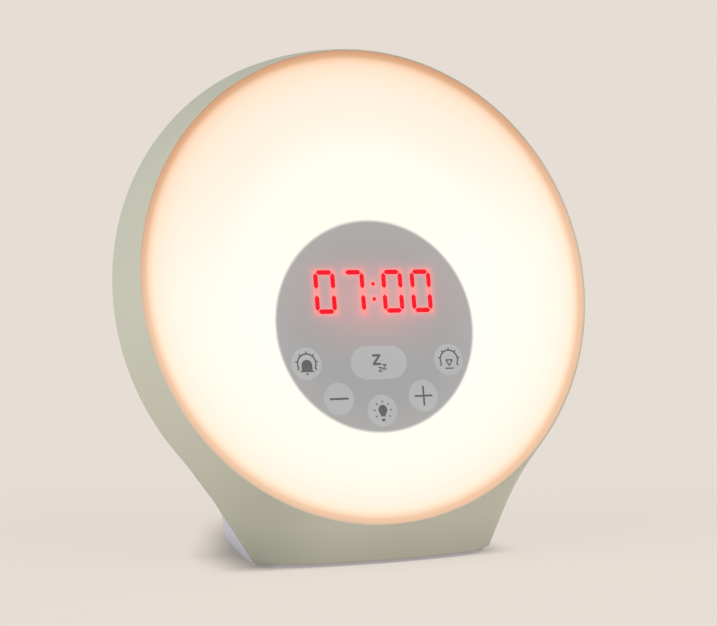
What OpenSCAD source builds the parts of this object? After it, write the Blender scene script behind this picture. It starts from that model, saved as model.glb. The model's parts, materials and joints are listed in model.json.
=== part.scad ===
// Sunrise alarm clock: a round light on a waisted foot, with a clock display and six buttons in its face.
// The row frame stands on the table: +Z up, the face looks along -Y, and the origin is the middle of the footprint's box.
// Face pieces are drawn flat about the middle of the face, with +Z out of it, and face_frame() leans them back.

/* [Face] */
// Lean of the face back from upright, in degrees
tilt = 11.5; // [9:0.5:14]
// Height of the middle of the face above the table
face_height = 101; // [98:0.5:104]
// How far the diffuser's face is sunk below its rim
lens_sink = 1; // [0.6:0.1:1.4]
// Width of the rim that slopes up around the diffuser's face
lens_slope = 2.7; // [2.2:0.1:3]
// Wall of the diffuser
lens_wall = 2.2; // [1.8:0.1:2.4]
// Length of the diffuser's spigot behind its rim
spigot_depth = 6.4; // [5.5:0.1:7]

/* [Housing] */
// Largest radius of the round housing, at the joint of its two halves
ring_r = 92.5; // [91:0.5:94.5]
// How far the housing widens from its lip to that joint
ring_flare = 4.5; // [3.5:0.1:5.5]
// Depth of the front housing behind the diffuser's rim
ring_depth = 19; // [18:0.5:21]
// Depth of the whole clock
clock_depth = 104; // [100:1:112]
// Wall of the front housing and the rear cover
wall = 2.2; // [1.8:0.1:2.6]
// Width of the housing's lip that shows around the diffuser
lip = 0.5; // [0.3:0.1:0.9]
// Depth of the seat that the diffuser's rim lies in
seat_depth = 2.2; // [2:0.1:2.4]
// Thickness of the ledge under the diffuser's rim
ledge = 2.5; // [2:0.1:3]
// Half of the foot's width where the two halves meet the base plate
foot_half = 47; // [45:0.5:49]
// How far inside the ring's curve the neck's straight sides would pass
neck_in = 3.1135; // [2.5:0.0005:3.8]
// Radius of the hollow between the ring and the neck
neck_blend = 165; // [130:5:200]
// How far below the middle of the face the apron would reach without the base's cut
apron_drop = 114.5; // [112:0.5:116]
// Radius of the apron's curve seen from the front
apron_r = 125; // [120:5:160]
// Bow of the front housing's flare, where 0 is a straight cone
flare_bow = 0.3; // [0:0.05:0.5]

/* [Rear cover] */
// Height of the fullest point of the back
bulge_height = 50; // [40:1:60]
// How far the back tucks in from the fullest point down to the base
back_tuck = 3; // [1:0.5:6]
// Roundness of the back seen from the side, where 2 is an ellipse
back_round = 2; // [1.8:0.1:2.4]
// Bluntness of the foot seen from above
foot_blunt = 5.6; // [5:0.1:6.4]
// Bluntness of the upper back seen from above
back_blunt = 2.2; // [2.2:0.1:2.8]
// Height where the foot's bluntness has faded into the upper back's
blunt_fade = 35; // [32:1:60]

/* [Base] */
// Thickness of the base plate
plate_t = 1.4; // [1.3:0.1:1.8]
// How far the rubber feet lift the base plate
foot_lift = 0.4; // [0.3:0.1:0.7]
// How far the base plate's edge is set in from the housing's
plate_inset = 0.6; // [0.3:0.1:1]
// Radius of a rubber foot
pad_r = 6; // [5:0.25:7]
// Depth of the recess that a rubber foot is stuck in
pad_sink = 0.8; // [0.5:0.1:0.9]

/* [Controls] */
// Radius of the dark middle zone, which is the control shroud's tube
core_r = 39; // [38.5:0.25:40]
// How far the dark zone's middle lies below the middle of the face
core_drop = 15.7; // [15.2:0.1:16.4]
// Radius of a round button
button_r = 5.9; // [5.4:0.1:6.2]
// Radius of the arc that the round buttons lie on
button_arc = 31; // [30.5:0.1:31.2]
// Angle between two buttons on the arc, in degrees
button_pitch = 32.5; // [31:0.5:34]
// Length of the snooze button
snooze_l = 22; // [20:0.1:24]
// Width of the snooze button
snooze_w = 12; // [11:0.1:13]
// How far the snooze button lies below the dark zone's middle
snooze_drop = 13.4; // [12.8:0.1:14]
// Travel of a button
travel = 0.8; // [0.5:0.1:0.9]
// Gap between a button and its hole
button_gap = 0.2; // [0.15:0.05:0.3]

/* [Display] */
// Height of a digit
digit_h = 16; // [14:0.25:17]
// Width of a digit
digit_w = 8.3; // [7.5:0.1:9]
// Distance between two digits of a pair
digit_pitch = 11.5; // [11:0.1:12.4]
// Distance between the two pairs' inner digits
pair_pitch = 15.2; // [14:0.1:16]
// Width of a segment
segment_w = 1.7; // [1.4:0.1:2.2]
// Gap at a digit's waist between its upper and lower uprights
waist_gap = 2.3; // [1.6:0.1:3]
// Radius of a dot of the colon
colon_r = 0.7; // [0.5:0.05:0.9]
// Distance between the two dots of the colon
colon_pitch = 5.6; // [5:0.1:7]
// How far the digits' middle lies below the middle of the face
digit_drop = 3; // [2.5:0.05:3.5]

/* [Electronics] */
// Radius of the speaker's frame
speaker_r = 20; // [18:0.5:22]
// Height of the speaker's middle
speaker_height = 62; // [56:1:68]
// Distance of the power jack from the middle plane
jack_x = 12; // [8:1:13]
// Height of the power jack's socket
jack_height = 20; // [18:0.5:24]
// Radius of the power jack's socket
socket_r = 3.15; // [3:0.05:3.3]
// Thickness of the circuit boards
board_t = 1.6; // [1.2:0.1:1.8]
// Number of LEDs on the ring
led_count = 36; // [24:1:40]

/* [Hidden] */
$fn = 96;
eps = 0.01;
far = 400;

// Levels and planes of the housing
plate_top = foot_lift + plate_t;
lip_r = ring_r - ring_flare;
lens_r = lip_r - lip;
face_y = lip_r * sin(tilt) - clock_depth / 2;
back_y = clock_depth / 2;

// The outline of the joint between the two halves: a ring, a hollow blend and a straight neck
floor_v = up_face(plate_top, ring_depth);
neck_reach = ring_r - neck_in;
neck_slope = atan2(foot_half, -floor_v) + acos(neck_reach / norm([foot_half, floor_v]));
blend_reach = ring_r + neck_blend;
blend_swing = acos((neck_reach + neck_blend) / blend_reach);
blend_dir = neck_slope - blend_swing;
line_dir = neck_slope - atan(blend_reach * sin(blend_swing) / neck_reach);
blend_x = blend_reach * sin(blend_dir);
blend_v = -blend_reach * cos(blend_dir);
apron_rise = apron_r - apron_drop;
corner_soft = 6;
ring_steps = 8;
shell_steps = 120;

// The rear cover's surface is a stack of level sections
back_rows = 26;
back_cols = 30;

// Seat of the diffuser
fit_gap = 0.2;
seat_gap = 0.1;
rim_flat = 0.4;
lens_face_r = lens_r - rim_flat - lens_slope;
spigot_in = 4.1;
spigot_r = lens_r - spigot_in;
spigot_wall = 1.8;
ledge_r = spigot_r + fit_gap;
seat_floor = seat_depth + ledge;

// Reflector behind the diffuser
reflector_t = 1.6;
flange_depth = spigot_depth + fit_gap;
flange_r = lip_r - 1;
dish_gap = 1.6;
dish_r = spigot_r - spigot_wall - dish_gap;
dish_taper = 15;
floor_r = dish_r - dish_taper;
floor_depth = 20;
floor_t = 2;
led_in = 4.5;
led_r = floor_r - led_in;
led_board_w = 8;
led_w = 3.5;
led_t = 0.8;

// Control stack, as heights above the diffuser's rim plane
inner_z = -lens_sink - lens_wall;
cap_proud = 0.2;
cap_top = cap_proud - lens_sink;
flange_gap = 0.2;
flange_t = 1;
flange_over = 0.7;
guide_gap = 0.3;
guide_t = 1.8;
guide_z = inner_z - flange_gap - flange_t - travel - guide_gap;
stem_room = 4.2;
board_z = guide_z - guide_t - stem_room;
core_wall = 1.2;
switch_w = 6.2;
switch_h = 3.6;
stem_r = 1.5;
stem_gap = 0.15;
switch_hole = 1.8;
stem_in = 0.4;
board_r = core_r - core_wall - 1.2;
snooze_pin = 6.5;
switch_places = concat(
    [for (a = [-2:2]) [button_arc * sin(a * button_pitch), -core_drop - button_arc * cos(a * button_pitch)]],
    [[0, -core_drop - snooze_drop]]
);

// Display
module_margin = 3;
module_w = pair_pitch + 2 * digit_pitch + digit_w + 2 * module_margin;
module_h = digit_h + 2 * module_margin - 1;
segment_t = 0.6;
segment_gap = 0.25;
segments_up = [[1, 1, 1, 1, 1, 1, 0], [1, 1, 1, 0, 0, 0, 0], [1, 1, 1, 1, 1, 1, 0], [1, 1, 1, 1, 1, 1, 0]];
digit_places = [-pair_pitch / 2 - digit_pitch, -pair_pitch / 2, pair_pitch / 2, pair_pitch / 2 + digit_pitch];

// Screws: thread radius, head radius, head height
screw_r = 1.25;
screw_head_r = 2.6;
screw_head_h = 1.8;
small_r = 0.95;
small_head_r = 2;
small_head_h = 1.3;
thread_gap = 0.1;

// Bosses that join the two halves
boss_r = 3.6;
boss_in = 11;
boss_ring = ring_r - boss_in;
boss_dirs = [75, 140, 220, 285];
boss_start = 11.5;
boss_floor = 2.4;
tower_r = 4.6;
counterbore_r = 3.3;
thread_in = 8;

// Posts between the reflector and the front housing
post_in = 2.3;
post_ring = lip_r - post_in;
post_r = 2;
post_dirs = [45, 135, 225, 315];
post_thread = 3.2;
control_thread = 3.5;
board_thread = 6;
jack_thread = 5;
screw_end = 0.4;

// Posts behind the reflector for the main board
board_depth = 32;
main_w = 84;
main_h = 58;
main_v = 12;
main_post = 2.8;
main_inset = 5;
main_posts = [
    for (x = [-1, 1], y = [-1, 1]) [x * (main_w / 2 - main_inset), main_v + y * (main_h / 2 - main_inset)]
];
core_screw_r = core_r - 4;
core_screw_dirs = [60, 180, 300];
core_hole_r = core_r - 12;
core_thread = 4;

// Wiring and the sockets it plugs into, as places on the main board
wire_r = 0.7;
wire_pitch = 2;
socket_h = 5;
low_socket_h = 3;
speaker_socket = [0, main_v - main_h / 2 + 5];
jack_socket = [main_w / 2 - 15, main_v + 4];
light_socket = [0, main_v + main_h / 2 - 4];
cell_place = [main_w / 2 - 26, main_v - 9];
cell_r = 10;
cell_h = 3.2;
holder_floor = 0.8;
ribbon_v = -10;
ribbon_w = 10;
ribbon_t = 0.8;
light_hole_r = 2.4;

// Speaker, with its axis along Y
speaker_wall = 2;
speaker_seat = 7;
gasket_t = 1;
gasket_w = 1.6;
basket_h = 10.2;
magnet_h = 16.5;
magnet_r = 12.5;
tag_r = magnet_r + 0.75;
grille_pitch = 4;
grille_slot = 2;
grille_r = speaker_r - 2.5;

// Power jack, which looks out of the back
jack_w = 9;
jack_h = 11;
jack_l = 14;
jack_nose_r = 4.6;
jack_nose = 4;
pin_r = 1.05;
jack_face = back_at(jack_x, jack_height) - 0.6;
jack_board_w = 18;
jack_board_l = 22;
jack_board_in = 3;
jack_board_y = jack_face - jack_nose - jack_board_in;
jack_post_x = 6;
jack_post_y = jack_face - jack_board_l;
jack_posts = [[jack_x - jack_post_x, jack_post_y], [jack_x + jack_post_x, jack_post_y]];

// Base screws and feet, each mirrored to the other side, as distances from the middle plane and behind the face
front_screw = [36, 14];
back_screw = [28, 45];
front_pad = [32, 1];
back_pad = [26, 57];
base_screw_places = [for (p = [front_screw, back_screw], side = [1, -1]) [side * p[0], face_y + p[1]]];
pad_places = [for (p = [front_pad, back_pad], side = [1, -1]) [side * p[0], face_y + p[1]]];
base_screw_sink = 0.8;
base_boss_h = 3;
base_thread = 10;
post_h = 20;
rib_l = 20;

function up_face(z, w) = (z - face_height + w * sin(tilt)) / cos(tilt);
function level(v, w) = face_height + v * cos(tilt) - w * sin(tilt);
function row_y(v, w) = face_y + v * sin(tilt) + w * cos(tilt);

// Half of the joint outline's width at height v up the face, moved in by an inset
function outline_half(v, inset) =
    v > -(ring_r - inset) * cos(blend_dir) ? sqrt(max(0, pow(ring_r - inset, 2) - v * v)) :
    v > blend_v + (neck_blend + inset) * cos(neck_slope) ?
        blend_x - sqrt(pow(neck_blend + inset, 2) - pow(v - blend_v, 2)) :
    (neck_reach - inset + v * cos(neck_slope)) / sin(neck_slope);

// Reach of the joint outline from the middle of the face, at an angle from straight down
function side_reach(a) =
    a > blend_dir ? ring_r :
    a > line_dir ? blend_reach * cos(a - blend_dir)
        - sqrt(pow(neck_blend, 2) - pow(blend_reach * sin(a - blend_dir), 2)) :
    neck_reach / cos(neck_slope - a);
function apron_reach(a) = sqrt(pow(apron_r, 2) - pow(apron_rise * sin(a), 2)) - apron_rise * cos(a);
function soft_min(a, b, k) = min(a, b) - pow(max(k - abs(a - b), 0), 2) / (4 * k);
function reach(a) = soft_min(side_reach(abs(a)), apron_reach(a), corner_soft);

// The front housing's outer radius flares from the lip to the joint outline
function flare(s) = s * (1 + flare_bow * (1 - s));
function shell_r(a, w) = lip_r + (reach(a) - lip_r) * flare(w / ring_depth);
function ring_level(j) = j == 0 ? 0 : seat_floor + (ring_depth - seat_floor) * (j - 1) / (ring_steps - 1);

// The back's depth at a level, and its plan curve's bluntness
function top_level(inset) = level(ring_r - inset, ring_depth);
function top_y(inset) = row_y(ring_r - inset, ring_depth);
function back_profile(z, inset) =
    z > bulge_height ?
        top_y(inset) + (back_y - inset - top_y(inset))
            * pow(max(0, 1 - pow((z - bulge_height) / (top_level(inset) - bulge_height), back_round)), 1 / back_round) :
    back_y - inset - back_tuck * pow((bulge_height - z) / bulge_height, 2);
function blunt(z) = back_blunt + (foot_blunt - back_blunt) * pow(max(0, 1 - z / blunt_fade), 2);
function back_point(v, inset, side) =
    let (z = level(v, ring_depth), y = row_y(v, ring_depth), depth = back_profile(z, inset) - y)
    [outline_half(v, inset) * sin(side), y + depth * (1 - pow(abs(sin(side)), blunt(z))), z];
function back_row(i, inset) = floor_v + (ring_r - inset - floor_v) * sin(90 * i / back_rows);
function back_at(x, z) = let (v = up_face(z, ring_depth), half = outline_half(v, 0), y = row_y(v, ring_depth))
    y + (back_profile(z, 0) - y) * (1 - pow(abs(x) / half, blunt(z)));

// Triangles of a grid of points, without those that a shared point folds flat
function folded(f) = f[0] == f[1] || f[1] == f[2] || f[0] == f[2];
function quad(a, b, c, d) = [for (f = [[a, b, c], [a, c, d]]) if (!folded(f)) f];
function joined(lists) = [for (list = lists) each list];

module face_frame() {
    translate([0, face_y, face_height])
        rotate([90 - tilt, 0, 0])
            children();
}

module at_dirs(dirs, radius) {
    for (a = dirs)
        rotate([0, 0, a])
            translate([0, -radius, 0])
                children();
}

module below(z) {
    translate([-far / 2, -far / 2, z - far])
        cube(far);
}

// A straight slot or pill, flat
module pill(l, w) {
    square([l - w, w], center = true);
    for (side = [-1, 1])
        translate([side * (l - w) / 2, 0])
            circle(r = w / 2);
}

// Front housing: a solid lofted from level outlines, less the space inside it, which leaves the bosses standing
module shell_loft(inset, depths, turn) {
    rings = len(depths);
    points = concat(
        [[0, 0, -depths[0]], [0, 0, -depths[rings - 1]]],
        [
            for (w = depths, i = [0:shell_steps - 1])
                let (a = 360 * (i + turn) / shell_steps - 180, r = shell_r(a, w) - inset)
                [r * sin(a), -r * cos(a), -w]
        ]
    );
    faces = joined([
        for (i = [0:shell_steps - 1])
            let (n = (i + 1) % shell_steps, rear = 2 + (rings - 1) * shell_steps)
            concat(
                [[0, 2 + n, 2 + i], [1, rear + i, rear + n]],
                joined([
                    for (j = [0:rings - 2])
                        let (f = 2 + j * shell_steps, g = f + shell_steps)
                        quad(f + i, f + n, g + n, g + i)
                ])
            )
    ]);
    polyhedron(points = points, faces = faces, convexity = 4);
}

module front_bosses() {
    at_dirs(post_dirs, post_ring)
        translate([0, 0, -flange_depth])
            cylinder(r = post_r, h = flange_depth);
    at_dirs(boss_dirs, boss_ring)
        translate([0, 0, -ring_depth]) {
            cylinder(r = boss_r, h = ring_depth - boss_start);
            translate([-wall / 2, boss_ring - ring_r, 0])
                cube([wall, ring_r - boss_ring, ring_depth - boss_start]);
        }
}

module front_housing() color("#bcbda6") {
    difference() {
        face_frame()
            difference() {
                shell_loft(0, [for (j = [0:ring_steps]) ring_level(j)], 0);
                translate([0, 0, -seat_depth])
                    cylinder(r = lens_r + seat_gap, h = seat_depth + 1);
                translate([0, 0, -seat_floor - 1])
                    cylinder(r = ledge_r, h = seat_floor);
                difference() {
                    shell_loft(wall, [for (j = [1:ring_steps + 1]) if (j != ring_steps) ring_level(j)], 0.5);
                    front_bosses();
                }
                at_dirs(post_dirs, post_ring)
                    translate([0, 0, -flange_depth - eps])
                        cylinder(r = small_r + thread_gap, h = post_thread + screw_end);
                at_dirs(boss_dirs, boss_ring)
                    translate([0, 0, -ring_depth - eps])
                        cylinder(r = screw_r + thread_gap, h = thread_in + 0.6);
            }
        below(plate_top);
    }
}

// Rear cover: a solid stacked from level sections of the back, less the space inside it
function back_edge(v, inset, side, more) = let (p = back_point(v, inset, side)) [p[0], p[1] - more, p[2]];

module back_solid(inset, more) {
    cols = back_cols + 3;
    rows = back_rows + 1;
    points = [
        for (i = [0:rows], k = [0:cols - 1])
            let (
                v = i == 0 ? floor_v - more : back_row(i - 1, inset),
                side = 180 * (k - 1) / back_cols - 90
            )
            back_edge(v, inset, max(-90, min(90, side)), k == 0 || k == cols - 1 ? more : 0)
    ];
    skin = joined([
        for (i = [0:rows - 1], k = [0:cols - 2])
            quad(i * cols + k, i * cols + k + 1, i * cols + cols + k + 1, i * cols + cols + k)
    ]);
    joint = joined([
        for (i = [0:rows - 1])
            quad(i * cols, i * cols + cols, i * cols + 2 * cols - 1, i * cols + cols - 1)
    ]);
    under = [for (k = [1:cols - 2]) [0, k + 1, k]];
    roof = [for (k = [1:cols - 2]) [rows * cols, rows * cols + k, rows * cols + k + 1]];
    polyhedron(points = points, faces = concat(skin, joint, under, roof), convexity = 4);
}

module speaker_axis() {
    translate([0, back_y, speaker_height])
        rotate([90, 0, 0])
            children();
}

module grille() {
    count = floor(grille_r / grille_pitch);
    for (i = [-count:count])
        let (length = 2 * sqrt(pow(grille_r, 2) - pow(i * grille_pitch, 2)))
        translate([0, i * grille_pitch])
            pill(max(length, grille_slot + 1), grille_slot);
}

module cover_bosses() {
    face_frame()
        at_dirs(boss_dirs, boss_ring)
            translate([0, 0, -far / 4])
                cylinder(r = tower_r, h = far / 4 - ring_depth - fit_gap);
    speaker_axis()
        difference() {
            cylinder(r = speaker_r + speaker_wall, h = speaker_seat + 2);
            translate([0, 0, -eps])
                cylinder(r = speaker_r - gasket_w, h = speaker_seat + eps);
            translate([0, 0, speaker_seat - gasket_t])
                cylinder(r = speaker_r + fit_gap, h = 3 + gasket_t);
        }
    for (p = base_screw_places)
        translate([p[0], p[1], plate_top + base_boss_h]) {
            cylinder(r = boss_r, h = post_h);
            translate([p[0] > 0 ? 0 : -rib_l, -wall / 2, 0])
                cube([rib_l, wall, post_h]);
        }
}

module rear_cover() color("#bdbbbc") {
    difference() {
        back_solid(0, 0);
        difference() {
            back_solid(wall, 3);
            cover_bosses();
        }
        face_frame()
            at_dirs(boss_dirs, boss_ring) {
                translate([0, 0, -far / 4])
                    cylinder(r = counterbore_r, h = far / 4 - ring_depth - boss_floor - fit_gap);
                translate([0, 0, -far / 4])
                    cylinder(r = screw_r + 0.35, h = far / 4);
            }
        speaker_axis()
            translate([0, 0, -eps])
                linear_extrude(speaker_seat + 1)
                    grille();
        translate([jack_x, 0, jack_height])
            rotate([-90, 0, 0])
                cylinder(r = jack_nose_r + fit_gap, h = far);
        for (p = base_screw_places)
            translate([p[0], p[1], plate_top])
                cylinder(r = screw_r + thread_gap, h = base_boss_h + base_thread);
    }
}

// Base plate: its outline is the apron's lower edge in front and the rear cover's behind
function hit(a, z) =
    let (
        turn = cos(a) * cos(tilt),
        grow = (reach(a) - lip_r) * turn,
        slide = ring_depth * sin(tilt),
        need = face_height - z - lip_r * turn,
        b = grow * (1 + flare_bow) + slide
    )
    2 * need / (b + sqrt(b * b - 4 * grow * flare_bow * need));
function apron_point(a, z) =
    let (w = hit(a, z) * ring_depth, r = shell_r(a, w) - plate_inset)
    [r * sin(a), row_y(-r * cos(a), w) + plate_inset];
apron_half = 22;
corner_turns = 1;
plate_outline = concat(
    [for (a = [-apron_half:2:apron_half]) apron_point(a, plate_top)],
    [
        for (k = [corner_turns:back_cols - corner_turns])
            let (p = back_point(floor_v, plate_inset, 90 - 180 * k / back_cols)) [p[0], p[1]]
    ]
);

module base_plate() color("#b4b2b3") {
    difference() {
        union() {
            translate([0, 0, foot_lift])
                linear_extrude(plate_t)
                    polygon(plate_outline);
            for (p = base_screw_places)
                translate([p[0], p[1], foot_lift])
                    cylinder(r = boss_r + 0.6, h = plate_t + base_boss_h);
            for (p = jack_posts)
                translate([p[0], p[1], foot_lift])
                    cylinder(r = main_post, h = jack_height - jack_h / 2 - board_t - foot_lift);
        }
        for (p = base_screw_places)
            translate([p[0], p[1], 0]) {
                cylinder(r = screw_head_r + 0.4, h = foot_lift + screw_head_h + 0.8);
                cylinder(r = screw_r + 0.35, h = 20);
            }
        for (p = pad_places)
            translate([p[0], p[1], 0])
                cylinder(r = pad_r + fit_gap, h = foot_lift + pad_sink);
        for (p = jack_posts)
            translate([p[0], p[1], plate_top + 1])
                cylinder(r = small_r + thread_gap, h = jack_height);
    }
}

module rubber_feet() color("#3a3a3b") {
    for (p = pad_places)
        translate([p[0], p[1], 0])
            cylinder(r = pad_r, h = foot_lift + pad_sink);
}

// Diffuser: an opal disc with a raised rim, a spigot and holes for the buttons
module diffuser() color("#fff3df") {
    face_frame()
        difference() {
            rotate_extrude()
                polygon([
                    [0, -lens_sink], [lens_face_r, -lens_sink], [lens_r - rim_flat, 0], [lens_r, 0],
                    [lens_r, -seat_depth], [spigot_r, -seat_depth], [spigot_r, -spigot_depth],
                    [spigot_r - spigot_wall, -spigot_depth], [spigot_r - spigot_wall, inner_z], [0, inner_z]
                ]);
            for (i = [0:4])
                translate([switch_places[i][0], switch_places[i][1], inner_z - 1])
                    cylinder(r = button_r + button_gap, h = lens_wall + 2);
            translate([switch_places[5][0], switch_places[5][1], inner_z - 1])
                linear_extrude(lens_wall + 2)
                    pill(snooze_l + 2 * button_gap, snooze_w + 2 * button_gap);
        }
}

// Reflector: a white dish that carries the LED ring, the control shroud and the main board
module reflector() color("#f4f4f0") {
    face_frame()
        difference() {
            union() {
                rotate_extrude()
                    polygon([
                        [0, -floor_depth], [floor_r, -floor_depth],
                        [dish_r, -flange_depth], [flange_r, -flange_depth],
                        [flange_r, -flange_depth - reflector_t], [dish_r + 1, -flange_depth - reflector_t],
                        [floor_r + 1, -floor_depth - floor_t], [0, -floor_depth - floor_t]
                    ]);
                for (p = main_posts)
                    translate([p[0], p[1], -board_depth])
                        cylinder(r = main_post, h = board_depth - floor_depth - 1);
            }
            translate([0, -core_drop, -floor_depth - floor_t - 1])
                cylinder(r = core_hole_r, h = floor_t + 2);
            translate([0, led_r, -floor_depth - floor_t - 1])
                cylinder(r = light_hole_r, h = floor_t + 2);
            at_dirs(post_dirs, post_ring)
                translate([0, 0, -flange_depth - reflector_t - 1])
                    cylinder(r = small_r + 0.3, h = reflector_t + 2);
            translate([0, -core_drop, -floor_depth - floor_t - 1])
                at_dirs(core_screw_dirs, core_screw_r)
                    cylinder(r = small_r + 0.3, h = floor_t + 2);
            for (p = main_posts)
                translate([p[0], p[1], -board_depth - eps])
                    cylinder(r = small_r + thread_gap, h = board_depth - floor_depth - 2);
        }
}

// Control shroud: a light-tight tube whose front plate guides the buttons
module control_shroud() color("#d8d8d6") {
    core_boss_r = 3.4;
    face_frame()
        difference() {
            union() {
                translate([0, -core_drop, -floor_depth])
                    difference() {
                        cylinder(r = core_r, h = floor_depth + inner_z - flange_gap);
                        translate([0, 0, -1])
                            cylinder(r = core_r - core_wall, h = floor_depth + inner_z + 2);
                    }
                translate([0, -core_drop, guide_z - guide_t])
                    cylinder(r = core_r - core_wall / 2, h = guide_t);
                for (p = control_posts)
                    translate([p[0], p[1], board_z])
                        cylinder(r = main_post, h = stem_room + eps);
                intersection() {
                    translate([0, -core_drop, -floor_depth])
                        at_dirs(core_screw_dirs, core_screw_r)
                            cylinder(r = core_boss_r, h = core_thread + 1.2);
                    translate([0, -core_drop, -floor_depth])
                        cylinder(r = core_r - core_wall / 2, h = core_thread + 2);
                }
            }
            translate([-module_w / 2 - fit_gap, -digit_drop - module_h / 2 - fit_gap, guide_z - guide_t - 1])
                cube([module_w + 2 * fit_gap, module_h + 2 * fit_gap, guide_t + 2]);
            for (p = switch_places)
                translate([p[0], p[1], guide_z - guide_t - 1])
                    cylinder(r = stem_r + stem_gap, h = guide_t + 2);
            for (side = [-1, 1])
                translate([side * snooze_pin, switch_places[5][1], guide_z - guide_t - 1])
                    cylinder(r = stem_r + stem_gap, h = guide_t + 2);
            for (p = control_posts)
                translate([p[0], p[1], board_z - eps])
                    cylinder(r = small_r + thread_gap, h = stem_room + 0.6);
            translate([0, -core_drop, -floor_depth - eps])
                at_dirs(core_screw_dirs, core_screw_r)
                    cylinder(r = small_r + thread_gap, h = core_thread + screw_end + 2 * eps);
        }
}
control_posts = [[-31.4, -9], [31.4, -9], [0, 14.5]];

// Display: a black block with the lit segments set in its front
module segment(l) {
    rest = segment_w / 2;
    polygon([
        [-l / 2, 0], [-l / 2 + rest, rest], [l / 2 - rest, rest],
        [l / 2, 0], [l / 2 - rest, -rest], [-l / 2 + rest, -rest]
    ]);
}

module digit(lit) {
    x = (digit_w - segment_w) / 2;
    top = (digit_h - segment_w) / 2;
    across = digit_w - segment_w - 2 * segment_gap;
    upright = top - segment_gap - waist_gap / 2;
    y = (waist_gap + upright) / 2;
    places = [[0, top, 0], [x, y, 90], [x, -y, 90], [0, -top, 0], [-x, -y, 90], [-x, y, 90], [0, 0, 0]];
    for (i = [0:6])
        if (lit[i] == 1)
            translate([places[i][0], places[i][1]])
                rotate(places[i][2])
                    segment(places[i][2] == 0 ? across : upright);
}

module lit_shapes() {
    for (i = [0:3])
        translate([digit_places[i], 0])
            digit(segments_up[i]);
    for (side = [-1, 1])
        translate([0, side * colon_pitch / 2])
            circle(r = colon_r);
}

module display_module() color("#2a2729") {
    face_frame()
        translate([0, -digit_drop, 0])
            difference() {
                translate([-module_w / 2, -module_h / 2, board_z])
                    cube([module_w, module_h, inner_z - flange_gap - board_z]);
                translate([0, 0, inner_z - flange_gap - segment_t])
                    linear_extrude(segment_t + 1)
                        lit_shapes();
            }
}

module display_segments() color("#ef2435") {
    face_frame()
        translate([0, -digit_drop, inner_z - flange_gap - segment_t])
            linear_extrude(segment_t)
                lit_shapes();
}

module control_board() color("#2f6b45") {
    face_frame()
        difference() {
            translate([0, -core_drop, board_z - board_t])
                cylinder(r = board_r, h = board_t);
            for (p = control_posts)
                translate([p[0], p[1], board_z - board_t - 1])
                    cylinder(r = small_r + 0.3, h = board_t + 2);
        }
}

module tact_switches() color("#4a4a4c") {
    face_frame()
        for (p = switch_places)
            translate([p[0], p[1], board_z])
                difference() {
                    translate([-switch_w / 2, -switch_w / 2, 0])
                        cube([switch_w, switch_w, switch_h]);
                    translate([0, 0, switch_h - switch_hole])
                        cylinder(r = stem_r + 0.3, h = switch_hole + 1);
                }
}

// Buttons: a flush cap, a flange that holds it behind the diffuser, and a stem into its switch
module stem() {
    translate([0, 0, board_z + switch_h - stem_in])
        cylinder(r = stem_r, h = inner_z - flange_gap - flange_t / 2 - board_z - switch_h + stem_in);
}

module round_button(i) {
    cap_edge = 0.5;
    top = cap_top;
    face_frame()
        translate([switch_places[i][0], switch_places[i][1], 0]) {
            rotate_extrude() {
                translate([0, inner_z - flange_gap - flange_t])
                    square([button_r + flange_over, flange_t]);
                translate([0, inner_z - flange_gap - flange_t / 2])
                    square([button_r, top - cap_edge - inner_z + flange_gap + flange_t / 2]);
                translate([0, top - cap_edge])
                    square([button_r - cap_edge, cap_edge]);
                intersection() {
                    translate([button_r - cap_edge, top - cap_edge])
                        circle(r = cap_edge);
                    translate([button_r - cap_edge, top - cap_edge])
                        square(cap_edge);
                }
            }
            stem();
        }
}

module light_button() color("#bcbbbb") round_button(2);
module minus_button() color("#bcbbbb") round_button(1);
module plus_button() color("#bcbbbb") round_button(3);
module alarm_button() color("#bcbbbb") round_button(0);
module sunset_button() color("#bcbbbb") round_button(4);

module snooze_button() color("#bcbbbb") {
    base = inner_z - flange_gap - flange_t;
    face_frame()
        translate([switch_places[5][0], switch_places[5][1], 0]) {
            translate([0, 0, base])
                linear_extrude(flange_t)
                    pill(snooze_l + 2 * flange_over, snooze_w + 2 * flange_over);
            translate([0, 0, base + flange_t / 2])
                linear_extrude(cap_top - base - flange_t / 2)
                    pill(snooze_l, snooze_w);
            stem();
            for (side = [-1, 1])
                translate([side * snooze_pin, 0, guide_z - guide_t - 1])
                    cylinder(r = stem_r, h = base + flange_t / 2 - guide_z + guide_t + 1);
        }
}

// LED ring
module led_board() color("#eeeeea") {
    face_frame()
        translate([0, 0, -floor_depth])
            difference() {
                cylinder(r = led_r + led_board_w / 2, h = board_t);
                translate([0, 0, -1])
                    cylinder(r = led_r - led_board_w / 2, h = board_t + 2);
            }
}

module leds() color("#ffe9a8") {
    face_frame()
        for (i = [0:led_count - 1])
            rotate([0, 0, 360 * i / led_count])
                translate([led_r - led_w / 2, -led_w / 2, board_t - floor_depth])
                    cube([led_w, led_w, led_t]);
}

// Main board and what is on it
module main_board() color("#2f6b45") {
    face_frame()
        translate([0, 0, -board_depth - board_t])
            difference() {
                translate([-main_w / 2, main_v - main_h / 2, 0])
                    cube([main_w, main_h, board_t]);
                for (p = main_posts)
                    translate([p[0], p[1], -1])
                        cylinder(r = small_r + 0.3, h = board_t + 2);
            }
}

module on_main_board(x, y) {
    face_frame()
        translate([x, y, -board_depth - board_t])
            mirror([0, 0, 1])
                children();
}

module block(w, l, h) {
    translate([-w / 2, -l / 2, 0])
        cube([w, l, h]);
}

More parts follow.
